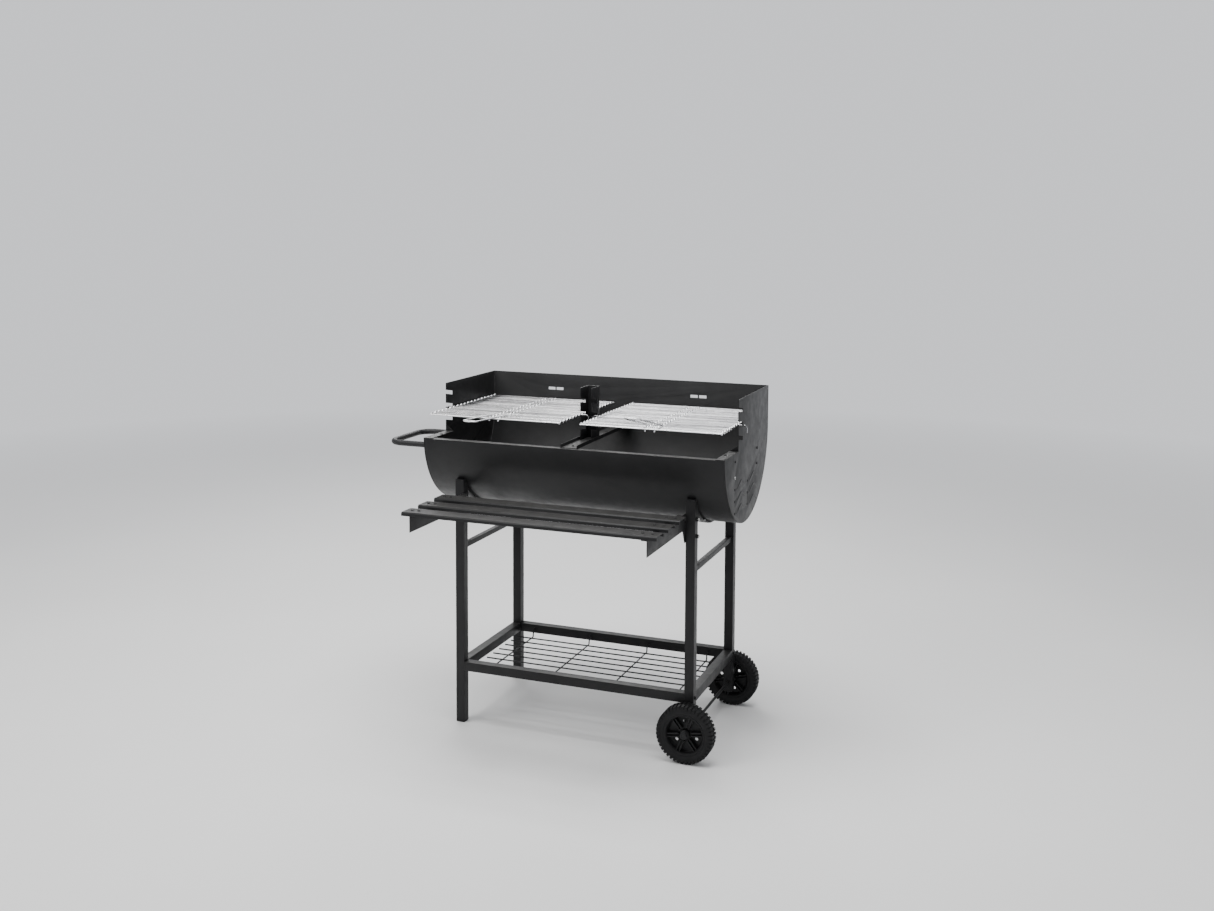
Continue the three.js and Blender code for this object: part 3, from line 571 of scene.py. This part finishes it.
def make_hub():
    """Thin web with its spokes and boss; the three round holes go right through it."""
    hub = Solid()
    web_in, web_out = WEB_Y
    arc_steps, share = 48, 2 * pi / HOLE_COUNT
    for number in range(HOLE_COUNT):
        middle = number * share
        centre = Vector(around(middle, HOLE_AT, 0))
        arc = [middle - share / 2 + share * k / arc_steps for k in range(arc_steps + 1)]
        sector = [Vector(around(a, WEB_R, 0)) for a in arc]
        sector += [Vector(around(a, WEB_CORE_R, 0)) for a in arc[::-1]]
        hole = [centre + (p - centre).normalized() * HOLE_R for p in sector]
        count = len(sector)
        points = [(p.x, y, p.z) for y in (web_out, web_in) for p in sector + hole]
        faces = []
        for i in range(count):
            j = (i + 1) % count
            faces.append((i, j, count + j, count + i))
            faces.append((2 * count + i, 3 * count + i, 3 * count + j, 2 * count + j))
            faces.append((count + i, count + j, 3 * count + j, 3 * count + i))
        hub.add(points, faces)
        collar = [(5.6, 214.8), (7.6, 214.8), (7.6, 221.4), (5.6, 221.4), (5.6, 214.8)]
        hub.merge(lathe(collar, centre, (0, 1, 0), 32))
    ribs = ((-4, 1.2, 231.5, 233), (4, 1.2, 231.5, 233), (0, 3.4, 226, 225))  # offset, half width, heights
    for k in range(SPOKE_COUNT):
        angle = (k + 0.5) * 2 * pi / SPOKE_COUNT
        out = Vector((cos(angle), 0, sin(angle)))
        side = Vector((-sin(angle), 0, cos(angle)))
        for offset, width, near, far in ribs:
            for flip in (False, True):
                points = []
                for radius, top in ((SPOKE_START_R, near), (WEB_R, far)):
                    for s in (-1, 1):
                        for y in (web_out - SPOKE_SINK, top):
                            level = web_in + web_out - y if flip else y
                            points.append(out * radius + side * (offset + s * width) + Vector((0, level, 0)))
                hub.add(points, BOX_FACES)
    boss = [(4.6, 200.9), (12, 200.9), (12.7, 201.6), (12.7, 233), (12, 233.7), (4.6, 233.7)]
    hub.merge(lathe(boss + [boss[0]], (0, 0, 0), (0, 1, 0), 40))
    for y, turn in ((web_out, 1), (web_in, -1)):
        bead = [(44.5, y), (47.5, y + turn * 3), (48, y + turn * 3), (48, y), (44.5, y)]
        hub.merge(lathe(bead, (0, 0, 0), (0, 1, 0), 72))
    return hub


def build_wheels():
    tyre, hub = make_tyre(), make_hub()
    cap = lathe([(0, 234), (9.4, 234), (9.4, 241.6), (8.8, 243), (7.2, 244), (5.2, 244.2), (4.6, 243.2),
                 (0, 243.2)], (0, 0, 0), (0, 1, 0), 36)
    skirt = lathe([(5.6, 234.4), (11, 234.4), (11, 237), (9.4, 238.4), (5.6, 238.4), (5.6, 234.4)],
                  (0, 0, 0), (0, 1, 0), 36)
    for row, sign in (("front", -1), ("back", 1)):
        spot = Matrix.Translation((LEG_X, 0, WHEEL_R)) @ Matrix.Diagonal((1, sign, 1, 1))
        turned = spot @ Matrix.Rotation(-HOLE_TURN[row], 4, "Y")
        piece(f"wheel_{row}_tyre", tyre.moved(turned), TYRE, f"wheel_{row}",
              (f"wheel_{row}",), sharp=32)
        piece(f"wheel_{row}_hub", hub.moved(turned), HUB, f"wheel_{row}", sharp=32)
        piece(f"wheel_{row}_cap", cap.moved(spot).merge(skirt.moved(spot)), PLASTIC,
              replaces=(f"hub_cap_{row}",), sharp=30)
        refined(f"wheel_{row}_washer", f"axle_washer_{row}", ZINC, bevel=0.3)
    refined("axle_rod", "axle", COAT, bevel=0.6, sharp=30)


# ------------------------------------------------------------------------------- shelf
def build_shelf():
    heads, crosses = Solid(), Solid()
    for i in range(3):
        refined(f"shelf_slat_{i + 1}_pressing", f"shelf_slat_{i + 1}", COAT, bevel=0.45, sharp=25)
        middle = SLAT_FRONT_Y + i * SLAT_STEP + SLAT_W / 2
        for x in SLAT_SCREW_X:
            add_screw(heads, crosses, (x, middle, SLAT_TOP_Z), (0, 0, 1), SLAT_SCREW_R)
    piece("shelf_screws", heads, COAT, sharp=40)
    # The crosses on these screws are dark as painted shade in their recesses.
    piece("shelf_screw_recess_shade", crosses, RECESS_SHADE)
    nuts = Solid()
    for end, side in (("left", -1), ("right", 1)):
        refined(f"shelf_bracket_{end}_plate", f"shelf_bracket_{end}", COAT, bevel=0.5)
        for number, z in enumerate(SHELF_BOLT_Z, 1):
            refined(f"shelf_bolt_{end}_{number}_shank", f"shelf_bolt_{end}_{number}", ZINC, bevel=0.3)
            nuts.merge(hexagon_bolt((side * (LEG_X + TUBE / 2), -LEG_Y, z), (side, 0, 0), *SHELF_NUT))
    piece("shelf_nuts", nuts, COAT, sharp=30)


# ------------------------------------------------------------------------------- firebox
def ridge(path, side):
    """A pressed ridge on an end plate: [y, z] path, fading out at both ends."""
    rows, across, fade_rows = len(path), 8, 3
    points, faces = [], []
    for i, (y, z) in enumerate(path):
        before, after = path[max(i - 1, 0)], path[min(i + 1, rows - 1)]
        along = Vector((after[0] - before[0], after[1] - before[1])).normalized()
        normal = Vector((-along.y, along.x))
        fade = min(1.0, min(i, rows - 1 - i) / fade_rows)
        for k in range(across + 1):
            t = -1 + 2 * k / across
            rise = RIDGE_H * sin(fade * pi / 2) * (1 - t * t)
            half = RIDGE_W / 2 * (0.45 + 0.55 * fade)
            x = side * (BARREL_HALF - RIDGE_SINK + rise)
            points.append((x, y + normal.x * t * half, z + normal.y * t * half))
    for i in range(rows - 1):
        for k in range(across):
            a = i * (across + 1) + k
            faces.append((a, a + 1, a + across + 2, a + across + 1))
    return Solid().add(points, faces)


def chevron(column, apex):
    """The [y, z] path of one chevron, from its left foot over the apex to its right foot."""
    left = []
    for k in range(CHEVRON_STEPS + 1):
        t = k / CHEVRON_STEPS
        left.append((column - CHEVRON_HALF * (1 - t), apex - CHEVRON_DROP * (1 - t) ** CHEVRON_CURVE))
    return left + [(2 * column - y, z) for y, z in left[-2::-1]]


def build_firebox_skin():
    """The barrel's sheet, with a paler, rougher copy of the coat on its inner faces, and on its top rim as
    painted light from above.
    """
    skin = refined("firebox_skin", "firebox_shell", COAT, bevel=0.45, sharp=25)
    skin.data.materials.append(COAT_PALE_INSIDE_AND_RIM_LIGHT)
    axis = place((0, KEEL_Y, BACK_CENTRE_Z))
    for face in skin.data.polygons:
        outward = face.center - axis
        outward.x = 0
        # The top of the rim gets the paler copy as painted light from above.
        on_rim_painted_light = face.normal.z > 0.9 and abs(face.center.z * 1000 - RIM_Z) < 1
        if on_rim_painted_light or face.normal.dot(outward.normalized()) < -0.4:
            face.material_index = 1


def build_firebox():
    build_firebox_skin()
    bright_heads, dark_heads, crosses = Solid(), Solid(), Solid()
    for end, side in (("left", -1), ("right", 1)):
        refined(f"end_plate_{end}_sheet", f"end_plate_{end}", COAT, bevel=0.5, sharp=25)
        ridges = Solid()
        for column in CHEVRON_COLUMNS:
            for apex in CHEVRON_APEXES:
                ridges.merge(ridge(chevron(column, apex), side))
        piece(f"end_plate_{end}_pressings", ridges, COAT, sharp=60)
        face, outward = side * BARREL_HALF, (side, 0, 0)
        for y, z in DARK_PLATE_SCREWS:
            add_screw(dark_heads, crosses, (face, y, z), outward, DARK_SCREW_R)
        add_screw(bright_heads, crosses, (face, *BRIGHT_PLATE_SCREW), outward, BRIGHT_SCREW_R)
        seat = (side * FLANGE_SCREW_X, FLANGE_SCREW_Y, FLANGE_TOP_Z)
        add_screw(dark_heads, crosses, seat, (0, 0, 1), FLANGE_SCREW_R)
        inner, outer = side * (BARREL_HALF - SIDE_FLANGE), side * (BARREL_HALF - 1)
        corners = [(inner, RIM_Z + 1), (outer, RIM_Z + 1), (outer, RIM_Z + GUSSET_H)]
        gusset = prism(corners, *GUSSET_Y)
        piece(f"end_plate_{end}_gusset", gusset, COAT, bevel=0.3)
    for y in CHANNEL_SCREW_Y:
        add_screw(dark_heads, crosses, (0, y, FLANGE_TOP_Z), (0, 0, 1), CHANNEL_SCREW_R)
    piece("plate_screws", dark_heads, COAT, sharp=40)
    piece("bright_screws", bright_heads, ZINC, sharp=40)
    # The crosses on these screws are dark as painted shade in their recesses.
    piece("plate_screw_recess_shade", crosses, RECESS_SHADE)
    refined("centre_channel_rail", "centre_channel", COAT, bevel=0.5)
    refined("notch_post_pressing", "notch_post", COAT, bevel=0.5)


def build_side_handle():
    face = -BARREL_HALF - COLLAR_GAP
    front, back = SIDE_HANDLE_Y
    corners = [(face - 1, front, SIDE_HANDLE_Z), (SIDE_HANDLE_TIP_X, front, SIDE_HANDLE_Z),
               (SIDE_HANDLE_TIP_X, back, SIDE_HANDLE_Z), (face - 1, back, SIDE_HANDLE_Z)]
    tube = wire(bend(corners, SIDE_HANDLE_BEND, 16), SIDE_HANDLE_TUBE, 28)
    collar = [(7, 0), (15, 0), (15, 2.2), (14, 3), (9.5, 3), (8, 4.4), (7, 4.4), (7, 0)]
    for y in SIDE_HANDLE_Y:
        tube.merge(lathe(collar, (face, y, SIDE_HANDLE_Z), (-1, 0, 0), 36))
    piece("side_handle_tube", tube, GRIP, replaces=("side_handle",), sharp=45)


# ------------------------------------------------------------------------------- grates
def woven(x, start, end, phase):
    """A crimped cross wire that passes over one long rod and under the next."""
    path = []
    steps = int((end - start) / WEAVE_STEP)
    for i in range(steps + 1):
        y = start + (end - start) * i / steps
        wave = cos(pi * (y - ROD_FRONT_Y) / ROD_PITCH + phase)
        path.append((x, y, ROD_Z - WEAVE_DROP + WEAVE_H * wave))
    return path


def long_wire(centre, y, z, diameter):
    return wire([(centre - GRATE_HALF, y, z), (centre + GRATE_HALF, y, z)], diameter, 12)


def make_cooking_grate(side):
    """The long rods with the hook, and the wires that cross them."""
    centre = side * GRATE_X
    back_y = ROD_FRONT_Y + (ROD_COUNT - 1) * ROD_PITCH
    rods, crossings = Solid(), Solid()
    for i in range(ROD_COUNT):
        y = ROD_FRONT_Y + i * ROD_PITCH
        if i == HOOK_ROD:
            hook = [(side * HOOK_OUT_X, y, ROD_Z - HOOK_DROP[0]), (side * HOOK_OUT_X, y, ROD_Z),
                    (side * HOOK_IN_X, y, ROD_Z), (side * HOOK_IN_X, y, ROD_Z - HOOK_DROP[1])]
            rods.merge(wire(bend(hook, HOOK_BEND, 8), ROD - 0.2, 12))
            continue
        rods.merge(long_wire(centre, y, ROD_Z, LONG_ROD))
    for y in (ROD_FRONT_Y - EDGE_WIRE_OUT, back_y + EDGE_WIRE_OUT):
        crossings.merge(long_wire(centre, y, ROD_Z - EDGE_WIRE_DROP, ROD))
    for k, x in enumerate((-GRATE_HALF + SIDE_WIRE_IN, GRATE_HALF - SIDE_WIRE_IN)):
        crossings.merge(wire(woven(centre + x, ROD_FRONT_Y - 3, back_y + 3, k * pi), ROD, 10))
    for k, x in enumerate((-LUG_HALF, LUG_HALF)):
        x += centre
        weave = woven(x, ROD_FRONT_Y - 1, back_y - ROD_PITCH / 2, k * pi)
        front = [(x, ROD_FRONT_Y - 4.5, CROSS_Z - 5), (x, ROD_FRONT_Y - 4, CROSS_Z - 3)]
        lug = bend([(x, back_y, CROSS_Z), (x, back_y + 4, CROSS_Z), (x, back_y + 8, LUG_Z),
                    (x, WALL_Y + 8, LUG_Z)], 3, 4)
        crossings.merge(wire(front + weave + lug, ROD, 10))
    return rods, crossings


def make_grate_handle(side):
    """A loop with an eye at each arm's end, turned up from lying flat by its lift."""
    arms = bend([(-HANDLE_HALF, 0, EYE_R), (-HANDLE_HALF, -HANDLE_REACH, EYE_R),
                 (HANDLE_HALF, -HANDLE_REACH, EYE_R), (HANDLE_HALF, 0, EYE_R)], HANDLE_BEND, 10)
    handle = wire(arms, ROD, 14)
    for x in (-HANDLE_HALF, HANDLE_HALF):
        ring = [(x, EYE_R * sin(a), EYE_R * cos(a)) for a in (2 * pi * i / 24 for i in range(24))]
        handle.merge(wire(ring, ROD, 12, closed=True))
    spot = Matrix.Translation((side * GRATE_X, ROD_FRONT_Y + PIN_ROD * ROD_PITCH, ROD_Z))
    return handle.moved(spot @ Matrix.Rotation(-HANDLE_LIFT[side], 4, "X"))


def build_grates():
    for end, side in (("left", -1), ("right", 1)):
        rods, crossings = make_cooking_grate(side)
        piece(f"cooking_grate_{end}_rods", rods, CHROME_RODS_PAINTED_REFLECTION, f"grate_{end}",
              (f"cooking_grate_{end}",), sharp=50)
        piece(f"cooking_grate_{end}_cross_wires", crossings, CHROME, f"grate_{end}", sharp=50)
        piece(f"grate_handle_{end}_loop", make_grate_handle(side), CHROME, f"handle_{end}",
              (f"grate_handle_{end}",), sharp=50)
        refined(f"charcoal_grate_{end}_bars", f"charcoal_grate_{end}", COAT_PALE_INSIDE_AND_RIM_LIGHT, bevel=0, sharp=70)


build_legs()
build_frame_bolts()
build_rack()
build_wheels()
build_shelf()
build_firebox()
build_side_handle()
build_grates()


# ------------------------------------------------------------------------------- studio
FLOOR_SIZE, FLOOR_DROP, BACKDROP_R = 60, 0.0005, 28  # metres


def build_stage():
    bpy.ops.mesh.primitive_plane_add(size=FLOOR_SIZE, location=(0, 0, -FLOOR_DROP))
    floor = bpy.context.object
    floor.name = "floor"
    floor.data.materials.append(plain_floor())

    bpy.ops.mesh.primitive_uv_sphere_add(segments=64, ring_count=32, radius=BACKDROP_R)
    backdrop = bpy.context.object
    backdrop.name = "backdrop"
    backdrop.data.materials.append(plain_backdrop())
    for ray in ("diffuse", "glossy", "transmission", "shadow"):
        setattr(backdrop, f"visible_{ray}", False)

    world = bpy.data.worlds.new("studio")
    bpy.context.scene.world = world
    world.use_nodes = True
    background = world.node_tree.nodes["Background"]
    background.inputs["Color"].default_value = (*WORLD_COLOUR, 1)
    background.inputs["Strength"].default_value = WORLD_STRENGTH


def softbox(name, spot, target, size, power, tint=(1, 1, 1)):
    """A rectangular light aimed at target; places and size in metres, power in watts."""
    data = bpy.data.lights.new(name, "AREA")
    data.shape = "RECTANGLE"
    data.size, data.size_y = size
    data.energy = power
    data.color = tint
    lamp = bpy.data.objects.new(name, data)
    lamp.location = spot
    lamp.rotation_euler = (Vector(target) - Vector(spot)).to_track_quat("-Z", "Y").to_euler()
    bpy.context.scene.collection.objects.link(lamp)


def build_lights():
    centre = (0, 0, 0.6)
    softbox("key", (-2.2, -2.4, 3.6), centre, (2.2, 1.8), 60, (1.0, 0.985, 0.96))
    softbox("side", (3.4, -0.3, 1.6), centre, (1.8, 2.2), 16)
    softbox("back", (-1.6, 3.0, 2.6), centre, (2.4, 1.2), 60)
    softbox("top", (0.0, -0.3, 3.4), (0, -0.1, 0.8), (2.4, 1.6), 130)


# ------------------------------------------------------------------------------- camera
YAW, PITCH, ROLL = radians(21.153), radians(4.269), radians(0.245)
CAMERA_AT = (1323.8, -3359.3, 1427.7)
SENSOR_WIDTH, LENS = 36, 38.69259  # millimetres
SHIFT_Y = -0.122405  # share of the picture's width


def build_camera():
    ahead = Vector((-sin(YAW) * cos(PITCH), cos(YAW) * cos(PITCH), -sin(PITCH)))
    right = ahead.cross(Vector((0, 0, 1))).normalized()
    up = right.cross(ahead)
    right, up = right * cos(ROLL) + up * sin(ROLL), up * cos(ROLL) - right * sin(ROLL)
    data = bpy.data.cameras.new("camera")
    data.sensor_fit = "HORIZONTAL"
    data.sensor_width = SENSOR_WIDTH
    data.lens = LENS
    data.shift_y = SHIFT_Y
    data.clip_start, data.clip_end = 0.05, 200
    camera = bpy.data.objects.new("camera", data)
    turn = Matrix((right, up, -ahead)).transposed().to_4x4()
    camera.matrix_world = Matrix.Translation(place(CAMERA_AT)) @ turn
    bpy.context.scene.collection.objects.link(camera)
    bpy.context.scene.camera = camera


build_stage()
build_lights()
build_camera()
